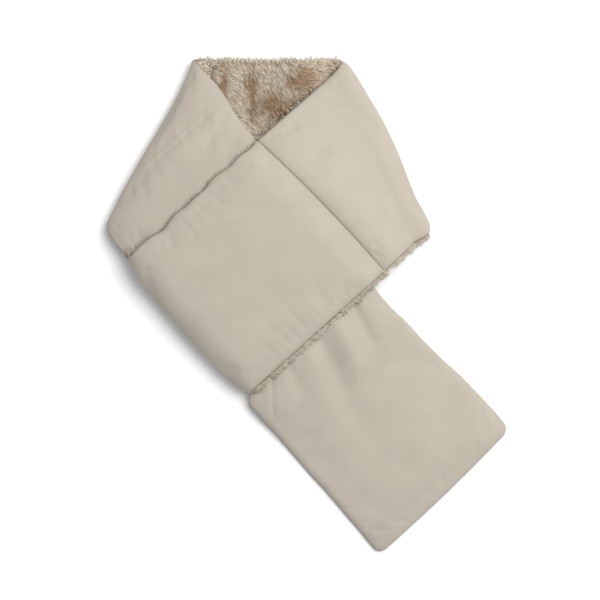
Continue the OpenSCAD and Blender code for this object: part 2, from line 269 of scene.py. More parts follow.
def left_strip():
    """Neck panel with its shell down, the left fold, and the left arm into the sleeve."""
    frac = (COLS + 1) / 2
    foot_l = mix(top_left, low_left, spread(frac))
    foot_r = mix(top_right, low_right, spread(frac))
    turn = foot_l + [(LEFT_R + STRIP_T / 2) / left_in[0], 0]
    made = [station(at(mix(foot_r - [LEG, 0], turn, f), FLOOR_MID), -UP) for f in np.linspace(0, 0.96, 9)]
    slide = 10.0
    bulge = resample([4.5, 0.5, -1.5, -1.0, 1.2, 3.4, 4.4, 6.0],
                     [-1, -0.9, -0.7, -0.3, 0.1, 0.5, 0.8, 1], COLS)
    made += fold_stations(foot_l, left_in, LEFT_R, FLOOR_MID + 0.15, (-2, 5), slide, bulge, 24)
    t0, w0 = tail_coords(made[-1][0])

    # The inner edge sags until its pile rests on the neck panel's
    sag = 7 * ease(-COLS / 0.8)
    for f in (0.05, 0.12, 0.2, 0.3, 0.4, 0.5, 0.62, 0.75, 0.88, 1.0):
        t = mix(t0, 60.0, f)
        inner = mix(mix(w0, -COLS * HALF, ease((t - t0) / 45)), -COLS * ARM_HALF_IN, ease((t + 92) / 22))
        outer = mix(w0, -COLS * ARM_BULGE, ease((t - t0) / 20))
        outer = mix(outer, -COLS * ARM_HALF_OUT, ease((t + 91) / 14))
        p = tail_point(t, np.where(COLS < 0, inner, outer))
        drop = sag * ease((t - t0) / 40) * (1 - ease((t + 118) / 40))
        z = mix(FLOOR_MID + 0.15 + 2 * LEFT_R, TAIL_MID + lift(p), ease((t - t0) / 50)) - drop
        made.append(station(at(p, z), UP))
    return Strip(made, 1.5)


# How far from its seam the sleeve has come up to its full height
NEAR_SEAM = 20.0

# Stations of the right strip: the middle of its fold, just past it, and the sleeve's seam
FOLD_STATION, PAST_STATION, SEAM_STATION = 7, 17, 21


def seam_u(c):
    """How far along the sleeve its seam runs at each column. It is sewn a little askew."""
    return SEAM_U - 4.4 - 3.35 * c + 2.25 * c**2


def right_strip():
    """The right fold from the neck panel up, the right arm, and the sleeve round and back."""
    frac = (COLS + 1) / 2
    foot = mix(top_right, low_right, spread(frac))
    turn = foot + [(RIGHT_R + STRIP_T / 2) / right_in[0], 0]
    made = [station(at(mix(foot - [LEG, 0], turn, f), FLOOR_MID), -UP) for f in (0.0, 0.5)]
    slide = 2.5 * (1 - COLS)
    bulge = resample([0.5, 1.0, 2.5, 4.4, 4.4, 2.5, 2.0, 3.8, 5.0],
                     [-1, -0.9, -0.6, -0.3, 0.1, 0.45, 0.6, 0.8, 1], COLS)
    made += fold_stations(foot, right_in, RIGHT_R, FLOOR_MID, (-2, 2.5), slide, bulge, 12)
    axis = made[-1][0][..., :2]
    v = COLS * SLEEVE_W / 2
    end = sleeve_point(seam_u(COLS), v)
    sag = 6 * ease(-COLS / 0.9)
    for f in (0.12, 0.28, 0.45, 0.62, 0.76, 0.86, 0.93, 0.97, 1.0):
        p = mix(axis, end, f)
        away = np.linalg.norm(end - p, axis=-1)
        top = FLOOR_MID + 2 * RIGHT_R
        z = mix(top, SEAM_MID + lift(end), ease(f)) + (5 - sag) * math.sin(math.pi * f)
        round_up = np.sqrt(1 - (1 - np.clip(away / 15, 0, 1)) ** 2)
        made.append(station(at(p, z), UP, mix(0.85, 1.0, round_up)))
    for d in (0.8, 2.0, 3.6, 6.0, 9.0, 14.0, 20.0, 34.0, 62.0, 100.0, 125.0):
        p = sleeve_point(seam_u(COLS) + d, v)
        round_up = math.sqrt(1 - (1 - min(d / 4.5, 1)) ** 2)
        z = mix(SEAM_MID, FRONT_MID, ease(d / NEAR_SEAM))
        made.append(station(at(p, z + lift(p)), UP, mix(0.85, 1.0, round_up)))
    r = (FRONT_MID - BACK_MID) / 2
    for a in FOLD_TURN[::-1]:
        u = SLEEVE_LEN / 2 - 3.75 - r + r * math.cos(a) + (1.0 + 2.5 * (1 - COLS**2)) * math.cos(a)
        p = sleeve_point(u, v)
        face = np.array([arm_dir[0] * math.cos(a), arm_dir[1] * math.cos(a), math.sin(a)])
        full = mix(0.7, 1.0, ease((math.sin(a) + 1) * 0.8))
        made.append(station(at(p, BACK_MID + r + r * math.sin(a) + lift(p)), face, full))
    for d in (125.0, 90.0, 50.0, 30.0, 20.0, 13.0, 7.0, 2.5, 0.0):
        p = sleeve_point(seam_u(COLS) + d, v)
        z = mix(SEAM_MID - 2.2, BACK_MID, ease(d / NEAR_SEAM))
        made.append(station(at(p, z + lift(p)), -UP, mix(0.25, 0.7, ease(d / NEAR_SEAM))))
    strip = Strip(made, 1.4)

    # The far mouth's edge wanders a little where the left arm's pile pushes at it
    u, _ = sleeve_coords(strip.mid)
    wander = 2.4 * np.exp(-(((u - 36) / 8) ** 2)) - 1.2 * np.exp(-(((u + 30) / 7) ** 2))
    wander += 0.9 * noise(u, u * 0, 11, 77)
    on_front = (COLS < 0) * np.abs(COLS) ** 8 * ease(strip.face[..., 2] / 0.5) * ease((u + 78) / 10)
    strip.mid[..., :2] += spread(wander * on_front) * arm_side
    return strip


# ---------------------------------------------------------------- relief of the shell
# How far a sewn edge lies below the strip's middle, and how sharply its section turns
EDGE_DROP = 1.5
EDGE_POWER = 12


def rim(strip, tip=False):
    """From 1 inside to 0 at the sewn edge, like the section of a stuffed edge."""
    e = 1 - np.abs(COLS)[None, :] ** EDGE_POWER + np.zeros_like(strip.full)
    if tip:
        e = e * (1 - np.clip(1 - (strip.u[-1] - strip.u) / HALF, 0, 1)[:, None] ** EDGE_POWER)
    return np.sqrt(np.clip(e, 0, 1))


def shell_height(strip, edge):
    crown = 4.2 + 1.3 * (1 - COLS**2)
    return strip.full * ((crown + EDGE_DROP) * edge - EDGE_DROP)


def lining_depth(strip, edge):
    return strip.full * (EDGE_DROP - 0.6 * edge)


def trail(along, across, at_along, at_across, width, height):
    """A long soft bump or trough: its middle, width and height change along its way."""
    middle = np.interp(along, at_along, at_across)
    sigma = np.interp(along, at_along, width)
    high = np.interp(along, at_along, height, left=0, right=0)
    return high * np.exp(-(((across - middle) / sigma) ** 2) / 2)


def crease(along, across, start, end, width, height):
    """A straight sharp crease that fades in and out."""
    a, b = np.array(start, float), np.array(end, float)
    run = b - a
    length = np.linalg.norm(run)
    s = ((along - a[0]) * run[0] + (across - a[1]) * run[1]) / length**2
    d = np.abs((along - a[0]) * run[1] - (across - a[1]) * run[0]) / length
    return height * np.exp(-d / width) * ease(s / 0.15) * ease((1 - s) / 0.3)


def puckers(strip, edge_d, seed, size=0.4):
    """Little gathers that the edge seam pulls into the cloth."""
    side = np.where(COLS < 0, 0, 40)[None, :] + np.zeros_like(edge_d)
    u = strip.u[:, None] + np.zeros_like(edge_d)
    fine = noise(u, side, 4.5, seed) + 0.7 * noise(u, side, 9, seed + 3)
    return size * fine * np.exp(-edge_d / 6)


def tail_relief(strip):
    t, w = tail_coords(strip.mid)
    free = ease((t - 78) / 10)
    h = trail(t, w, [82, 92, 123, 153, 214, 240], [3, 2, -5, -15, -24, -28],
              [5, 6, 7, 10, 16, 18], [-2.4, -3.4, -3.2, -2.2, -1.0, 0])
    h += trail(t, w, [82, 92, 115, 133, 150], [27, 25, 20, 15, 8],
               [6, 7, 7.5, 7, 7], [2.2, 3.4, 3.8, 2.6, 0])
    h += trail(t, w, [82, 92, 126, 150], [48, 46, 38, 33], [3.5, 4, 5, 8], [-2.0, -2.8, -2.0, 0])
    h += trail(t, w, [82, 93, 124, 160, 200], [-8, -11, -26, -32, -36],
               [6, 7, 9, 12, 16], [1.0, 1.5, 1.5, 0.9, 0])
    h += trail(t, w, [82, 90, 112, 125], [-33, -34, -39, -44], [2.5, 3, 5, 6], [-1.0, -1.5, -0.8, 0])
    h += trail(t, w, [180, 195, 243, 262], [36, 33, 13, 6], [9, 10, 12, 13], [0, 1.0, 1.1, 0])
    h += trail(t, w, [150, 175, 230, 262], [56, 54, 48, 40], [7, 9, 13, 14], [0, -0.7, -1.0, 0])
    h += trail(t, w, [130, 160, 235, 262], [-66, -64, -61, -60], [6, 7, 7, 8], [0, -0.9, -0.8, 0])
    h += crease(t, w, (84, -50), (121, -79), 2.2, -1.8)
    h += crease(t, w, (84, -56), (112, -70), 5.0, 0.8)
    for notch in (148, 191, 206):
        h -= 0.9 * np.exp(-(((t - notch) / 2.6) ** 2)) * np.exp(-np.abs(HALF - w) / 9)
    h += 0.55 * clouds(t, w, 46, 31)
    return h * free


def from_quilt(t, w):
    """How far past the left arm's quilted line a point is. The line runs a little askew."""
    return t - QUILT_T + 0.03 * w


def left_relief(strip):
    t, w = tail_coords(strip.mid)
    top = ease(strip.face[..., 2] / 0.6)
    quilted = ease((HALF + 2 - w) / 3) * ease((w + 62) / 50)
    off = from_quilt(t, w)
    h = 1.3 * np.exp(-((off + 0.6) / 1.5) ** 2) * quilted
    h -= 1.9 * np.exp(-np.abs(off) / 4.5) * quilted
    h += 0.25 * noise(w, t * 0, 6, 12) * np.exp(-np.abs(off) / 6) * quilted
    x, y = strip.mid[..., 0], strip.mid[..., 1]
    from_fold = (strip.mid[..., :2] - top_left) @ left_in
    h -= 2.6 * ease(1 - from_fold / 42)
    h += trail(-y, x, [-176, -168, -140, -128], [-86, -84, -80, -79], [3, 3.5, 4, 4], [0, 0.9, 0.8, 0])
    h += trail(t, w, [-124, -112, -88, -82], [2, 0, -6, -8], [7, 8, 9, 9], [0, -0.8, -1.0, -1.0])
    h += 0.6 * clouds(t, w, 42, 51)
    return h * top


def right_relief(strip):
    u, v = sleeve_coords(strip.mid)
    top = strip.face[..., 2] > 0.3
    x, y = strip.mid[..., 0], strip.mid[..., 1]
    past = u - seam_u(v / (SLEEVE_W / 2))
    sleeve = ease(past / 12)
    h = 0.9 * clouds(u, v, 58, 71)
    h += sleeve * 1.2 * (1 - (v / 83) ** 2)
    arm = 1 - sleeve
    h += arm * crease(x, y, (-22, 154), (-4, 163), 1.8, -2.2)
    h += arm * crease(x, y, (-36, 150), (-22, 156), 1.6, -1.6)
    h += arm * crease(x, y, (6, 136), (24, 139), 2.6, -1.6)
    h += arm * crease(x, y, (25, 201.5), (41, 209), 1.8, -2.0)
    h += arm * crease(x, y, (39, 209), (56, 200), 1.8, -2.0)
    h -= np.where(past < 0, 1.7, 0.9) * np.exp(-np.abs(past) / np.where(past < 0, 5.0, 0.9))
    h += 0.25 * noise(v, u * 0, 5, 13) * np.exp(-np.abs(past) / 5)
    return h * top


# ---------------------------------------------------------------- meshes from arrays
def mesh_object(name, points, faces, uv=None, uv_name="cloth"):
    """An object from points in millimetres and a list of arrays of faces."""
    mesh = bpy.data.meshes.new(name)
    mesh.vertices.add(len(points))
    mesh.vertices.foreach_set("co", (points * MM).astype(np.float32).ravel())
    loops = np.concatenate([f.ravel() for f in faces]).astype(np.int32)
    totals = np.concatenate([np.full(len(f), f.shape[1]) for f in faces]).astype(np.int32)
    mesh.loops.add(len(loops))
    mesh.loops.foreach_set("vertex_index", loops)
    mesh.polygons.add(len(totals))
    mesh.polygons.foreach_set("loop_start", np.concatenate([[0], np.cumsum(totals)[:-1]]).astype(np.int32))
    mesh.polygons.foreach_set("loop_total", totals)
    mesh.polygons.foreach_set("use_smooth", np.ones(len(totals), bool))
    mesh.update(calc_edges=True)
    if uv is not None:
        layer = mesh.uv_layers.new(name=uv_name)
        layer.data.foreach_set("uv", uv[loops].astype(np.float32).ravel())
    obj = bpy.data.objects.new(name, mesh)
    bpy.context.scene.collection.objects.link(obj)
    return obj


def slab(name, top, back, uv=None):
    """A closed solid between two grids of the same size. top's side faces away from back."""
    rows, n = top.shape[:2]
    size = rows * n
    idx = np.arange(size).reshape(rows, n)
    quads = np.stack([idx[:-1, :-1], idx[:-1, 1:], idx[1:, 1:], idx[1:, :-1]], -1).reshape(-1, 4)
    edge = np.concatenate([idx[0], idx[1:, -1], idx[-1, -2::-1], idx[-2:0:-1, 0]])
    after = np.roll(edge, -1)
    walls = np.stack([edge, edge + size, after + size, after], -1)
    faces = np.concatenate([quads, quads[:, ::-1] + size, walls])
    normal = np.cross(top[:-1, 1:] - top[:-1, :-1], top[1:, :-1] - top[:-1, :-1])
    if (normal * (top - back)[:-1, :-1]).sum() < 0:
        faces = faces[:, ::-1]
    points = np.concatenate([top.reshape(-1, 3), back.reshape(-1, 3)])
    if uv is not None:
        uv = np.concatenate([uv.reshape(-1, 2)] * 2)
    return mesh_object(name, points, [faces], uv)


def cloth_uv(strip, rows):
    u = strip.u[rows][:, None] + np.zeros(len(COLS))
    return np.stack([u * MM, np.broadcast_to(COLS * HALF * MM, u.shape)], -1)


# ---------------------------------------------------------------- cloth simulation
SIM_CELL, SIM_FRAMES = 4.0, 20


def blown(strip, top, back, free, pressure, slack):
    """How far each point of top moves when the strip is blown up as cloth between its
    seams. free is 0 where the cloth is held. slack is its spare length."""
    u = np.linspace(0, strip.u[-1], int(strip.u[-1] / SIM_CELL) + 1)
    c = np.linspace(-1, 1, 41)
    rest, under = regrid(top, strip, u, c), regrid(back, strip, u, c)
    held = regrid(free, strip, u, c) < 0.5
    obj = slab("blown", rest, under)
    group = obj.vertex_groups.new(name="held")
    pinned = np.concatenate([held.ravel(), np.ones(held.size, bool)])
    group.add([int(i) for i in np.where(pinned)[0]], 1.0, "REPLACE")
    cloth = obj.modifiers.new("cloth", "CLOTH")
    s = cloth.settings
    s.vertex_group_mass = group.name
    s.quality = 6
    s.mass = 0.3
    s.tension_stiffness = s.compression_stiffness = 15
    s.shear_stiffness = 8
    s.bending_stiffness = 0.6
    s.use_pressure = True
    s.uniform_pressure_force = pressure
    s.shrink_min = -slack
    s.effector_weights.gravity = 0
    cloth.point_cache.frame_start, cloth.point_cache.frame_end = 1, SIM_FRAMES
    scene = bpy.context.scene
    for f in range(1, SIM_FRAMES + 1):
        scene.frame_set(f)
    shape = obj.evaluated_get(bpy.context.evaluated_depsgraph_get()).data
    co = np.empty(len(shape.vertices) * 3, np.float32)
    shape.vertices.foreach_get("co", co)
    moved = co.reshape(-1, 3)[: held.size].reshape(rest.shape) / MM - rest
    mesh = obj.data
    bpy.data.objects.remove(obj)
    bpy.data.meshes.remove(mesh)
    scene.frame_set(1)
    rows = resample(moved, u, strip.u)
    return np.swapaxes(resample(np.swapaxes(rows, 0, 1), c, COLS), 0, 1)


# ---------------------------------------------------------------- pile
PILE_UV = "OFBake"
RING_AT = np.array([0.0, 0.36, 0.72])
RING_WIDE = np.array([0.8, 1.0, 0.6])
RINGS = len(RING_AT)
SIDES = 3
TIP = RINGS * SIDES
LOWEST = 0.12


def tufts(name, base, normal, comb, length, width, lean, tone, pull, wave, material):
    """Locks of pile as closed, tapering, curved tubes with three sides. lean is the angle
    from the normal at the root and at the tip. The UV map holds each lock's tone and the
    way along it."""
    n = len(base)
    comb = comb - normal * (comb * normal).sum(-1, keepdims=True)
    comb /= np.maximum(np.linalg.norm(comb, axis=-1, keepdims=True), 1e-6)
    side = np.cross(normal, comb)
    stops = np.append(RING_AT, 1.0)
    centre, centres = base.copy(), [base]
    for a, b in zip(stops[:-1], stops[1:]):
        phi = mix(lean[:, 0], lean[:, 1], (a + b) / 2)[:, None]
        step = (b - a) * length[:, None]
        centre = centre + step * (normal * np.cos(phi) + comb * np.sin(phi))
        sway = (wave[:, 0] * np.sin(wave[:, 1] + 4.5 * b))[:, None]
        centres.append(centre + pull * b * b + side * sway * b)
    rings = []
    for k in range(RINGS):
        phi = mix(lean[:, 0], lean[:, 1], RING_AT[k])[:, None]
        thick = comb * np.cos(phi) - normal * np.sin(phi)
        r = (width / 2 * RING_WIDE[k])[:, None]
        for a in np.radians((90, 210, 330)):
            rings.append(centres[k] + r * (side * math.cos(a) - thick * 0.75 * math.sin(a)))
    points = np.stack(rings + [centres[RINGS]], 1)
    points[..., 2] = np.maximum(points[..., 2], LOWEST)
    quads, tris = [], []
    for low in range(0, TIP - SIDES, SIDES):
        for i in range(SIDES):
            j = (i + 1) % SIDES
            quads.append((low + i, low + j, low + SIDES + j, low + SIDES + i))
    for i in range(SIDES):
        tris.append((TIP - SIDES + i, TIP - SIDES + (i + 1) % SIDES, TIP))
    tris.append((2, 1, 0))
    start = (np.arange(n) * (TIP + 1))[:, None, None]
    uv = np.empty((n, TIP + 1, 2))
    uv[..., 0] = np.clip(tone, 0.01, 0.99)[:, None]
    uv[..., 1] = np.append(np.repeat([0.03, 0.36, 0.72], SIDES), 0.97)
    faces = [(np.array(quads) + start).reshape(-1, 4), (np.array(tris) + start).reshape(-1, 3)]
    obj = mesh_object(name, points.reshape(-1, 3), faces, uv.reshape(-1, 2), PILE_UV)
    obj.data.materials.append(materials[material])
    return obj


def scatter(surface, out, rows, density, seed):
    """Random points on part of a grid, with their normals. out is the grid's normals."""
    rng = np.random.default_rng(seed)
    g, o = surface[rows], out[rows]
    du, dc = g[1:, :-1] - g[:-1, :-1], g[:-1, 1:] - g[:-1, :-1]
    area = np.linalg.norm(np.cross(du, dc), axis=-1)
    weight = area * np.maximum(density[rows][:-1, :-1], 0)
    count = int(weight.sum())
    cell = rng.choice(weight.size, count, p=weight.ravel() / weight.sum())
    i, j = np.unravel_index(cell, weight.shape)
    a, b = rng.random((2, count, 1))

    def read(v):
        low, high = mix(v[i, j], v[i, j + 1], b), mix(v[i + 1, j], v[i + 1, j + 1], b)
        return mix(low, high, a)

    normal = read(o)
    return read(g), normal / np.linalg.norm(normal, axis=-1, keepdims=True), rng


# ---------------------------------------------------------------- materials
def new_material(name):
    m = bpy.data.materials.new(name)
    m.use_nodes = True
    return m, m.node_tree.nodes, m.node_tree.links, m.node_tree.nodes["Principled BSDF"]


def shell_cloth():
    m, nodes, links, shader = new_material("shell_cloth")
    shader.inputs["Roughness"].default_value = 0.82
    shader.inputs["Specular IOR Level"].default_value = 0.25
    shader.inputs["Sheen Weight"].default_value = 0.18
    shader.inputs["Sheen Roughness"].default_value = 0.45
    uv = nodes.new("ShaderNodeUVMap")
    uv.uv_map = "cloth"

    def waves(axis, period):
        split = nodes.new("ShaderNodeSeparateXYZ")
        links.new(uv.outputs[0], split.inputs[0])
        scale = nodes.new("ShaderNodeMath")
        scale.operation = "MULTIPLY"
        scale.inputs[1].default_value = 2 * math.pi / period
        links.new(split.outputs[axis], scale.inputs[0])
        sine = nodes.new("ShaderNodeMath")
        sine.operation = "SINE"
        links.new(scale.outputs[0], sine.inputs[0])
        return sine

    warp, weft = waves(0, 0.00045), waves(1, 0.00045)
    weave = nodes.new("ShaderNodeMath")
    weave.operation = "MULTIPLY"
    links.new(warp.outputs[0], weave.inputs[0])
    links.new(weft.outputs[0], weave.inputs[1])
    fuzz = nodes.new("ShaderNodeTexNoise")
    fuzz.inputs["Scale"].default_value = 2600
    fuzz.inputs["Detail"].default_value = 4
    links.new(uv.outputs[0], fuzz.inputs["Vector"])
    blotch = nodes.new("ShaderNodeTexNoise")
    blotch.inputs["Scale"].default_value = 38
    blotch.inputs["Detail"].default_value = 3
    links.new(uv.outputs[0], blotch.inputs["Vector"])
    ramp = nodes.new("ShaderNodeValToRGB")
    ramp.color_ramp.elements[0].position = 0.3
    ramp.color_ramp.elements[1].position = 0.7
    ramp.color_ramp.elements[0].color = (*SHELL_DARK, 1)
    ramp.color_ramp.elements[1].color = (*SHELL_LIGHT, 1)
    links.new(blotch.outputs["Fac"], ramp.inputs["Fac"])
    speck = nodes.new("ShaderNodeMix")
    speck.data_type = "RGBA"
    speck.blend_type = "MULTIPLY"
    speck.inputs["Factor"].default_value = 0.22
    links.new(ramp.outputs["Color"], speck.inputs["A"])
    links.new(fuzz.outputs["Fac"], speck.inputs["B"])
    links.new(speck.outputs["Result"], shader.inputs["Base Color"])
    relief = nodes.new("ShaderNodeMath")
    relief.operation = "MULTIPLY_ADD"
    relief.inputs[1].default_value = 0.5
    links.new(weave.outputs[0], relief.inputs[0])
    links.new(fuzz.outputs["Fac"], relief.inputs[2])
    bump = nodes.new("ShaderNodeBump")
    bump.inputs["Strength"].default_value = 0.3
    bump.inputs["Distance"].default_value = 0.0001
    links.new(relief.outputs[0], bump.inputs["Height"])
    links.new(bump.outputs["Normal"], shader.inputs["Normal"])
    return m


def pile_fibre(name, pale):
    """Pale locks with darker roots. Brown ones where the UV map's tone says so."""
    m, nodes, links, shader = new_material(name)
    shader.inputs["Roughness"].default_value = 0.6
    shader.inputs["Specular IOR Level"].default_value = 0.3
    shader.inputs["Sheen Weight"].default_value = 0.25
    uv = nodes.new("ShaderNodeUVMap")
    uv.uv_map = PILE_UV
    split = nodes.new("ShaderNodeSeparateXYZ")
    links.new(uv.outputs[0], split.inputs[0])

    def ramp(stops):
        node = nodes.new("ShaderNodeValToRGB")
        elements = node.color_ramp.elements
        while len(elements) < len(stops):
            elements.new(0.5)
        for e, (position, colour) in zip(elements, stops):
            e.position = position
            e.color = (*colour, 1)
        links.new(split.outputs[1], node.inputs["Fac"])
        return node

    cream = ramp(list(zip((0.0, 0.45, 1.0), pale)))
    brown = ramp([(0.0, BROWN_ROOT), (0.5, BROWN_MID), (1.0, BROWN_TIP)])
    both = nodes.new("ShaderNodeMix")
    both.data_type = "RGBA"
    links.new(split.outputs[0], both.inputs["Factor"])
    links.new(cream.outputs["Color"], both.inputs["A"])
    links.new(brown.outputs["Color"], both.inputs["B"])
    links.new(both.outputs["Result"], shader.inputs["Base Color"])
    return m


def plain_noise(name, dark, light, scale, roughness):
    m, nodes, links, shader = new_material(name)
    shader.inputs["Roughness"].default_value = roughness
    tex = nodes.new("ShaderNodeTexNoise")
    tex.inputs["Scale"].default_value = scale
    ramp = nodes.new("ShaderNodeValToRGB")
    ramp.color_ramp.elements[0].color = (*dark, 1)
    ramp.color_ramp.elements[1].color = (*light, 1)
    links.new(tex.outputs["Fac"], ramp.inputs["Fac"])
    links.new(ramp.outputs["Color"], shader.inputs["Base Color"])
    return m


SHELL_DARK, SHELL_LIGHT = (0.430, 0.385, 0.328), (0.458, 0.412, 0.351)
PILE_ROOT, PILE_MID, PILE_TIP = (0.14, 0.10, 0.07), (0.50, 0.425, 0.325), (0.83, 0.755, 0.63)
# Pile at the sewn edges and mouths: its roots are painted lighter than the main pile's, painted light
# against the shade beneath the shell's edges. Its greyer tone is the pile's own.
EDGE_ROOT_PAINTED_LIGHTER, EDGE_MID, EDGE_TIP = (0.22, 0.18, 0.14), (0.50, 0.435, 0.355), (0.74, 0.67, 0.57)
BROWN_ROOT, BROWN_MID, BROWN_TIP = (0.09, 0.055, 0.028), (0.30, 0.185, 0.10), (0.47, 0.315, 0.18)

materials = {
    "shell": shell_cloth(),
    "backing": plain_noise("plush_backing", (0.14, 0.10, 0.07), (0.34, 0.27, 0.20), 700, 0.95),
    "pile": pile_fibre("pile", (PILE_ROOT, PILE_MID, PILE_TIP)),
    "edge_pile": pile_fibre("edge_pile", (EDGE_ROOT_PAINTED_LIGHTER, EDGE_MID, EDGE_TIP)),
    "wadding": plain_noise("wadding", (0.75, 0.75, 0.73), (0.9, 0.9, 0.88), 400, 0.95),
    # Thread of the sleeve's topstitch, painted dark: painted shade of the groove it sits in. The thread
    # itself is beige like the shell.
    "thread": plain_noise("thread", (0.17, 0.13, 0.095), (0.30, 0.235, 0.18), 3000, 0.6),
    # Thread of the left arm's quilting: its own beige, painted paler than the shell as a painted highlight
    # along the quilted ridge.
    "thread_with_painted_highlight": plain_noise("thread_with_painted_highlight", (0.50, 0.455, 0.39), (0.60, 0.55, 0.48), 3000, 0.6),
}


def carried(obj, how):
    """Gives a piece to the body that moves it, the collar or the tail; any other piece keeps its place
    with its transform baked in.
    """
    if how == "collar":
        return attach(obj, "collar")
    if how == "left":
        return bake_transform(obj)
    if how == "tail":
        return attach(obj, "tail")
    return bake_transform(obj)


class Panel:
    """A strip with its finished shell surface and lining surface."""

    def __init__(self, strip, relief, held=None, tip=False, pressure=4.0, slack=0.004, cap=2.0):
        self.strip = strip
        edge = rim(strip, tip)
        h = shell_height(strip, edge)
        back = strip.mid - strip.face * lining_depth(strip, edge)[..., None]
        d_edge = (1 - np.abs(COLS))[None, :] * HALF + np.zeros_like(h)
        top = strip.mid + strip.face * h[..., None]
        free = (edge > 0.8) & (strip.face[..., 2] > -0.2) & (strip.full > 0.6)
        if held is not None:
            free = free & ~held
        move = blown(strip, top, back - strip.face, free.astype(float), pressure, slack)
        out = (move * strip.face).sum(-1)
        h = h + cap * np.tanh(out / cap) * ease((edge - 0.5) / 0.45)
        h = h + (relief(strip) + puckers(strip, d_edge, 7)) * edge
        self.top = strip.mid + strip.face * h[..., None]
        self.top[..., 2] = np.maximum(self.top[..., 2], 0.25)
        self.under = self.top - strip.face * CLOTH_T
        self.back = back
        self.edge = edge
        self.height = h

    def shell(self, name, rows, how, nodes):
        obj = slab(name, self.top[rows], self.under[rows], cloth_uv(self.strip, rows))
        obj.data.materials.append(materials["shell"])
        carried(obj, how)
        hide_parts(*nodes)
        return obj

    def lining(self, name, rows, how, nodes):
        face = self.strip.face[rows]
        obj = slab(name, self.back[rows], self.back[rows] + face * CLOTH_T, cloth_uv(self.strip, rows))
        obj.data.materials.append(materials["backing"])
        carried(obj, how)
        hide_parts(*nodes)
        return obj

    def wadding(self, name, rows, how, nodes):
        inside = np.where(self.edge[:, len(COLS) // 2] > 0.85)[0]
        part = slice(max(rows.start, inside[0]), min(rows.stop, inside[-1]), 2)
        cols = slice(7, -7, 2)
        mid, face = self.strip.mid[part, cols], self.strip.face[part, cols]
        h = np.maximum(0.3 * self.height[part, cols, None], 0.05)
        obj = slab(name, mid + face * h, mid - face * 0.15)
        obj.data.materials.append(materials["wadding"])
        carried(obj, how)
        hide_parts(*nodes)
        return obj

    def pile(self, name, rows, how, density, comb, seed, length=7.5, width=1.0, lean=(25, 78),
             tone=None, clump=3.6, gather=0.7, base_tone=0.12, swirl=0.35, wave=0.5, longer=None,
             material="pile"):
        grid = density + np.zeros_like(self.strip.full)
        base, normal, rng = scatter(self.back, -self.strip.face, rows, grid, seed)
        n = len(base)
        x, y = base[:, 0], base[:, 1]
        turn = swirl * (1.3 * noise(x, y, 13, seed + 2) + noise(x, y, 6, seed + 4)) + rng.normal(0, 0.1, n)
        c, s = np.cos(turn)[:, None], np.sin(turn)[:, None]
        way = comb(base) if callable(comb) else np.broadcast_to(np.asarray(comb, float), (n, 3))
        way = way * c + np.cross(normal, way) * s
        cell = np.floor(base[:, :2] / clump).astype(int)
        table = np.random.default_rng(seed + 6).random((64, 64, 6))[cell[:, 0] % 64, cell[:, 1] % 64]
        centre = (cell + 0.2 + 0.6 * table[:, :2]) * clump
        pull = np.zeros((n, 3))
        pull[:, :2] = (centre - base[:, :2]) * gather
        size = length * (0.8 + 0.4 * table[:, 2] + rng.normal(0, 0.08, n))
        angle = np.radians(np.array(lean)[None, :] + np.zeros((n, 1)))
        angle = angle + rng.normal(0, 0.1, (n, 2)) + 0.3 * (table[:, 3:4] - 0.5)
        if longer is not None:
            more = longer(base)
            size = size * (1 + 0.7 * more)
            angle = angle - 0.45 * more[:, None]
        angle = np.clip(angle, 0.05, 1.65)
        wide = width * rng.uniform(0.7, 1.3, n)
        shade = base_tone + 0.3 * (table[:, 4] - 0.5) + 0.08 * noise(x, y, 7, seed + 9)
        shade = shade + rng.normal(0, 0.1, n)
        if tone is not None:
            shade = shade + tone(base)
        phase = 0.42 * (base * way).sum(-1) + 2.0 * noise(x, y, 14, seed + 12) + rng.normal(0, 0.2, n)
        sway = np.stack([wave * rng.uniform(0.7, 1.2, n), phase], 1)
        obj = tufts(name, base, normal, way, size, wide, angle, shade, pull, sway, material)
        carried(obj, how)
        return obj


tail = Panel(tail_strip(), tail_relief, tip=True)
left_arm = left_strip()
t_left, w_left = tail_coords(left_arm.mid)
off_left = from_quilt(t_left, w_left)
quilt = (np.abs(off_left) < 2.5) & (w_left > -36) & (left_arm.face[..., 2] > 0.5)
left = Panel(left_arm, left_relief, held=quilt)
right = Panel(right_strip(), right_relief)

whole = slice(0, len(tail.strip.u))
tail.shell("tail_shell", whole, "bend", ["tail_end_shell"])
tail.lining("tail_lining", whole, "bend", ["tail_end_plush"])
tail.wadding("tail_wadding", whole, "bend", ["tail_end_wadding"])

whole = slice(0, len(left.strip.u))
neck_rows = left.strip.rows(0, 8)
fold_rows = slice(neck_rows.stop - 1, len(left.strip.u))
left.shell("left_shell", whole, "left", ["neck_shell", "left_fold_shell", "left_arm_shell"])
left.lining("neck_lining", neck_rows, "collar", ["neck_plush"])
left.lining("left_lining", fold_rows, "left", ["left_fold_plush", "left_arm_plush"])
left.wadding("left_wadding", whole, "left", ["neck_wadding", "left_fold_wadding", "left_arm_wadding"])

whole = slice(0, len(right.strip.u))
seam_row = int(np.abs(right.strip.u - right.strip.stations[SEAM_STATION]).argmin())
arm_rows, sleeve_rows = slice(0, seam_row + 1), slice(seam_row, len(right.strip.u))
right.shell("right_shell", arm_rows, "collar", ["right_fold_shell", "right_arm_shell"])
SLEEVE_PANELS = ["sleeve_front", "sleeve_fold", "sleeve_back"]
RIGHT_PANELS = ["right_fold", "right_arm"] + SLEEVE_PANELS
right.shell("sleeve_shell", sleeve_rows, "collar", [name + "_shell" for name in SLEEVE_PANELS])
right.lining("right_lining", whole, "collar", [name + "_plush" for name in RIGHT_PANELS])
right.wadding("right_wadding", whole, "collar", [name + "_wadding" for name in RIGHT_PANELS])


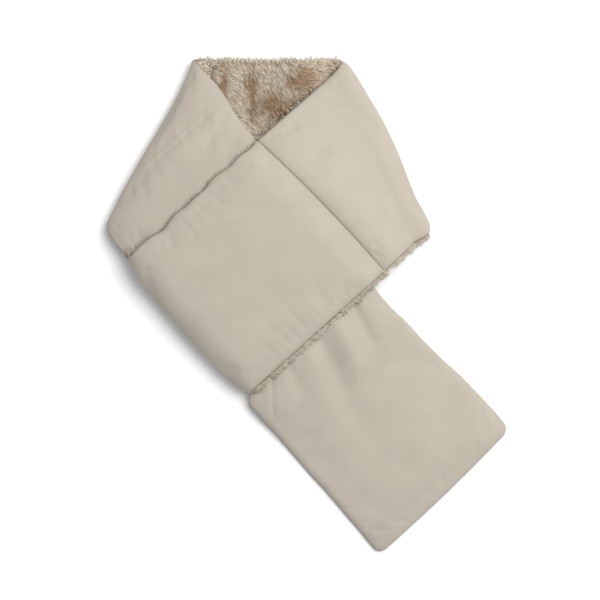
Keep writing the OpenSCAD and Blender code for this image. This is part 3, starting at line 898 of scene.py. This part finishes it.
# ---------------------------------------------------------------- pile
def blob(p, centre, rx, ry, turn=0.0):
    d = p[:, :2] - np.array(centre)
    c, s = math.cos(turn), math.sin(turn)
    a, b = d[:, 0] * c + d[:, 1] * s, -d[:, 0] * s + d[:, 1] * c
    return np.exp(-((a / rx) ** 2 + (b / ry) ** 2) / 2)


def neck_streaks_and_painted_light(p):
    """The pile's brown streaks and patches on the neck panel, with painted shade along the right arm's
    inner edge and painted light in the deep corner where the arms meet.
    """
    y = p[:, 1]
    _, v = sleeve_coords(p)
    tone = 1.3 * blob(p, (-82, 205), 2.6, 12, -0.06)
    tone += 1.3 * blob(p, (-53, 197), 3.4, 16, 0.03)
    tone += 1.35 * blob(p, (-33.5, 189), 6.2, 8.0)
    tone += 1.3 * blob(p, (-10.5, 209), 7.0, 6.5, 0.2)
    tone += 0.5 * blob(p, (-20, 186), 6, 4, 0.6)
    # Painted shade: browner pile in a band along the right arm's inner edge, where the arm shades the
    # neck's pile.
    tone += 0.9 * np.exp(-np.maximum(v + 84, -v - 84) / 7) * ease((y - 140) / 20)
    tone -= 0.3 * blob(p, (-21, 198), 4, 4)
    # Painted light: paler, less brown pile in the deep corner where the arms meet, against the shade
    # there.
    tone -= 0.2 * ease((176 - y) / 20)
    return tone


def neck_comb(p):
    """Down to the right on the left, then down, then up to the right by the right arm."""
    x = p[:, 0]
    way = mix(np.array([0.72, -0.69, 0]), np.array([0.35, -0.93, 0]), spread(ease((x + 72) / 30)))
    return mix(way, np.array([0.9, 0.25, 0]), 0.8 * spread(ease((x + 36) / 40)))


down_right, up_left, up = np.append(arm_side, 0), np.append(-arm_side, 0), np.array([0, 1.0, 0])


def tail_comb(p):
    """Down the tail, but inwards near its edges, where none of the pile shows."""
    t, w = tail_coords(p)
    near_tip = ease((t - TIP_T + 26) / 14)[:, None]
    way = mix(np.append(tail_dir, 0), np.append(-tail_dir, 0), near_tip)
    return way - spread(np.sign(w) * 1.5 * ease((np.abs(w) - 62) / 12)) * np.append(tail_side, 0)


def opening(strip):
    """Where the lining shows between the two arms."""
    _, w = tail_coords(strip.mid)
    _, v = sleeve_coords(strip.mid)
    return (w > 66) & (v < -67) & (strip.face[..., 2] < 0.3)


def near_corner(p):
    """1 in the deep corner where the arms meet, 0 well away from it."""
    return ease((182 - p[:, 1]) / 26)


in_rim, out_rim = COLS < -0.95, COLS > 0.95
shown, leg_shown = opening(left.strip), opening(right.strip)
leg_rows = right.strip.rows(0, FOLD_STATION)
far_corner = np.exp(-((sleeve_coords(right.strip.mid)[0] - 80) / 7) ** 2)

NECK = dict(tone=neck_streaks_and_painted_light, clump=3.2, gather=0.35, swirl=0.3, wave=1.2, longer=near_corner)
# RIM and FRINGE pile use edge_pile, whose roots are painted lighter against the shade under the edges.
RIM = dict(length=6, width=0.7, lean=(10, 60), base_tone=-0.05, swirl=0.7, material="edge_pile")
FRINGE = dict(width=0.62, base_tone=-0.02, swirl=1.1, clump=2.3, gather=0.15, wave=0.9,
              material="edge_pile")
left.pile("neck_pile_1", neck_rows, "collar", np.where(shown, 1.0, 0), neck_comb, 100,
          length=13, width=1.35, lean=(38, 88), **NECK)
left.pile("neck_pile_2", neck_rows, "collar", np.where(shown, 1.0, 0), neck_comb, 120,
          length=12, width=0.9, lean=(26, 86), **NECK)
left.pile("neck_hidden_pile", neck_rows, "collar", np.where(shown, 0, 0.05), neck_comb, 101,
          length=4, width=1.5, lean=(40, 80))
left.pile("neck_rim_pile", neck_rows, "collar", np.where(in_rim, 4.5, 0), up, 140, **RIM)
left.pile("neck_low_rim_pile", neck_rows, "collar", np.where(out_rim, 1.0, 0), -up, 141, length=6)
right.pile("leg_pile", leg_rows, "collar", np.where(leg_shown, 2.2, 0), neck_comb, 145,
           length=8.5, width=1.1, lean=(30, 84), tone=neck_streaks_and_painted_light, wave=1.0)
fold_under, leg_under = left.strip.face[..., 2] < 0.5, right.strip.face[..., 2] < 0.5
left.pile("fold_rim_pile", fold_rows, "left", np.where(fold_under & in_rim, 4.5, 0), up, 151, **RIM)
right.pile("leg_rim_pile", leg_rows, "collar", np.where(leg_under & in_rim, 4.5, 0), up, 152, **RIM)
left.pile("left_fold_pile", fold_rows, "left",
          np.where(shown, 2.4, np.where(in_rim | out_rim, 1.0, 0.04)), neck_comb, 150,
          length=6, width=1.1, lean=(20, 80), tone=neck_streaks_and_painted_light)
right.pile("sleeve_mouth_pile", sleeve_rows, "collar", np.where(COLS > 0.955, 6.5, 0), down_right, 160,
           length=6.5, lean=(62, 104), **FRINGE)
right.pile("sleeve_far_mouth_pile", sleeve_rows, "collar", np.where(in_rim, 1.3, 0), up_left, 165,
           length=3.6, width=0.6, lean=(35, 80), base_tone=0.4)
right.pile("sleeve_corner_pile", sleeve_rows, "collar", np.where(COLS < -0.93, 3.0 * far_corner, 0),
           up_left, 166, length=8, width=0.7, lean=(60, 95), base_tone=-0.1, swirl=0.8)
right.pile("arm_edge_pile", slice(0, arm_rows.stop), "collar", np.where(COLS > 0.955, 6.0, 0),
           down_right, 170, length=6.0, lean=(62, 102), **FRINGE)
past_fold = right.strip.u[:, None] > right.strip.stations[PAST_STATION]
right.pile("arm_inner_pile", slice(leg_rows.stop, arm_rows.stop), "collar",
           np.where(in_rim, 1.4, np.where(past_fold, 0.05, 0)), up_left, 175, length=5, width=0.8,
           lean=(20, 60), base_tone=0.3)
right.pile("sleeve_pile", sleeve_rows, "collar", np.where(in_rim | out_rim, 0, 0.05), up, 180,
           length=5, width=1.6, lean=(40, 80))
tail_rows = slice(0, len(tail.strip.u))
tail.pile("tail_pile_1", tail_rows, "bend", 0.28, tail_comb, 190,
          length=8, width=2.0, lean=(48, 80), clump=4)
tail.pile("tail_rim_pile", tail_rows, "bend", np.where(np.abs(COLS) > 0.96, 1.0, 0), tail_comb, 195,
          length=4.5, width=0.9, lean=(20, 60))


# ---------------------------------------------------------------- stitches
STITCH_LEN, STITCH_PITCH, THREAD_R = 2.3, 3.3, 0.36
STITCH_RINGS, STITCH_SIDES = 7, 6


def stitches(name, path, normal, how, node, material):
    """Short curved tubes of thread along a path on the shell, each end going into it."""
    steps = np.concatenate([[0], np.cumsum(np.linalg.norm(np.diff(path, axis=0), axis=1))])
    count = int((steps[-1] - STITCH_LEN) / STITCH_PITCH) + 1
    along = np.linspace(0, 1, STITCH_RINGS)
    at_u = np.arange(count)[:, None] * STITCH_PITCH + along[None, :] * STITCH_LEN

    def read(values):
        return np.stack([np.interp(at_u, steps, values[:, k]) for k in range(3)], -1)

    p, n = read(path), read(normal)
    n /= np.linalg.norm(n, axis=-1, keepdims=True)
    tangent = np.gradient(p, axis=1)
    tangent /= np.linalg.norm(tangent, axis=-1, keepdims=True)
    side = np.cross(n, tangent)
    bow = np.sin(np.pi * along)
    p = p + n * (0.75 * bow - 0.4)[None, :, None]
    r = THREAD_R * (0.5 + 0.5 * bow)[None, :, None]
    turns = np.radians(np.arange(0, 360, 360 // STITCH_SIDES))
    points = np.stack([p + r * (side * math.cos(a) + n * math.sin(a)) for a in turns], 2)
    idx = np.arange(count * STITCH_RINGS * STITCH_SIDES).reshape(count, STITCH_RINGS, STITCH_SIDES)
    nxt = np.roll(idx, -1, axis=2)
    quads = np.stack([idx[:, :-1], nxt[:, :-1], nxt[:, 1:], idx[:, 1:]], -1).reshape(-1, 4)
    caps = np.concatenate([idx[:, 0, ::-1], idx[:, -1]])
    obj = mesh_object(name, points.reshape(-1, 3), [quads, caps])
    obj.data.materials.append(materials[material])
    carried(obj, how)
    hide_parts(node)
    return obj


def sunk_line(panel, rows_at, keep):
    """Points on a panel's shell, one a column, at fractional rows."""
    k = np.floor(rows_at).astype(int)
    f = (rows_at - k)[:, None]
    j = np.arange(len(COLS))
    p = mix(panel.top[k, j], panel.top[k + 1, j], f)
    return p[keep], panel.strip.face[k, j][keep]


path, normal = sunk_line(right, np.full(len(COLS), float(seam_row)), np.abs(COLS) < 0.985)
# The topstitch thread's dark colour is painted shade of its groove.
stitches("sleeve_topstitch_thread", path, normal, "collar", "sleeve_topstitch", "thread")
on_top = left.strip.face[..., 2] > 0.5
crossing = on_top[:-1] & (off_left[:-1] < 0) & (off_left[1:] >= 0)
crosses = crossing.any(axis=0)
row = crossing.argmax(axis=0)
column = np.arange(len(COLS))
before, after = off_left[row, column], off_left[row + 1, column]
w_at = w_left[row, column]
path, normal = sunk_line(
    left,
    np.where(crosses, row - before / (after - before), 0),
    crosses & (w_at > -42) & (w_at < 78),
)
# Its thread is painted paler than the shell: painted highlight along the quilted ridge.
stitches("left_arm_quilt_thread", path, normal, "tail", "left_arm_seam_thread", "thread_with_painted_highlight")

# ---------------------------------------------------------------- floor, light, camera
FLOOR_HALF = 3000.0
corners = np.array([[-1, -1, 0], [1, -1, 0], [1, 1, 0], [-1, 1, 0]]) * FLOOR_HALF
floor = mesh_object("floor", corners, [np.array([[0, 1, 2, 3]])])
floor.location.z = -0.0002
floor_mat, _, _, floor_shader = new_material("floor")
floor_shader.inputs["Base Color"].default_value = (0.95, 0.95, 0.95, 1)
floor_shader.inputs["Roughness"].default_value = 0.9
floor_shader.inputs["Specular IOR Level"].default_value = 0.1
floor.data.materials.append(floor_mat)

world = bpy.data.worlds.new("world")
bpy.context.scene.world = world
world.use_nodes = True
world.node_tree.nodes["Background"].inputs["Color"].default_value = (0.95, 0.975, 1.0, 1)
world.node_tree.nodes["Background"].inputs["Strength"].default_value = 0.48


def softbox(name, place, size, watts, colour):
    data = bpy.data.lights.new(name, "AREA")
    data.shape = "SQUARE"
    data.size = size
    data.energy = watts
    data.color = colour
    obj = bpy.data.objects.new(name, data)
    obj.location = place
    obj.rotation_euler = (-Vector(place)).to_track_quat("-Z", "Y").to_euler()
    bpy.context.scene.collection.objects.link(obj)


softbox("key", (0.55, 0.42, 1.31), 1.15, 24.5, (1.0, 0.98, 0.95))
softbox("top", (0.35, 0.35, 2.0), 1.4, 6, (1.0, 0.99, 0.97))

CAMERA_Z, SHARP_Z, VIEW_WIDTH, SENSOR_WIDTH = 2.4, 0.015, 0.552, 36
camera_data = bpy.data.cameras.new("camera")
camera = bpy.data.objects.new("camera", camera_data)
bpy.context.scene.collection.objects.link(camera)
camera.location = (-0.0056, 0.0031, CAMERA_Z)
camera_data.sensor_width = SENSOR_WIDTH
camera_data.lens = SENSOR_WIDTH * (CAMERA_Z - SHARP_Z) / VIEW_WIDTH
bpy.context.scene.camera = camera
bpy.context.scene.view_settings.view_transform = "Standard"
